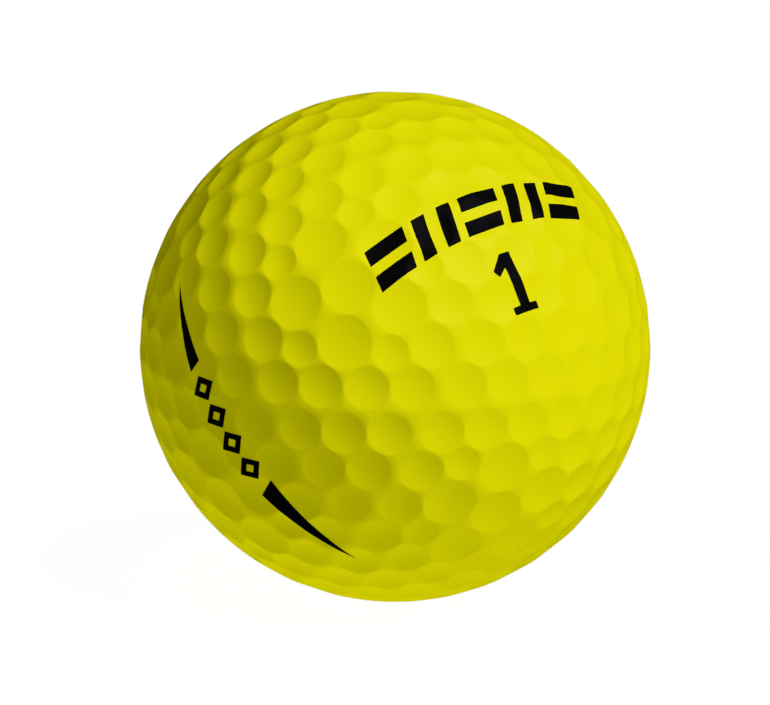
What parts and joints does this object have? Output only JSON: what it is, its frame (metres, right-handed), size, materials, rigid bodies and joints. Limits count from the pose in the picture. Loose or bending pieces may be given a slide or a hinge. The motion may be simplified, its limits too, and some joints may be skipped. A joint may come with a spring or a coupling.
{
  "type": "golf ball",
  "caption": "Yellow golf ball with a dimpled moulded cover over a solid rubber core, and black printed marks.",
  "frame": {"origin": "centre of the ball", "axes": "+Z through one pole of the mould, with the seam in the XY plane; -Y through a mirror plane of the dimple layout, on the side that the camera sees"},
  "size_m": [0.0427, 0.0426, 0.0424],
  "materials": {
    "core_rubber": "matt moulded polybutadiene rubber",
    "cover_ionomer": "yellow ionomer under a clear coat",
    "ink": "black pad-printing ink under a clear coat"
  },
  "bodies": {
    "root": {"core": "core_rubber", "cover_upper": "cover_ionomer", "cover_lower": "cover_ionomer", "arc_mark_front": "ink", "play_number_front": "ink", "side_stamp_front": "ink", "arc_mark_back": "ink", "play_number_back": "ink", "side_stamp_back": "ink"}
  },
  "joints": []
}
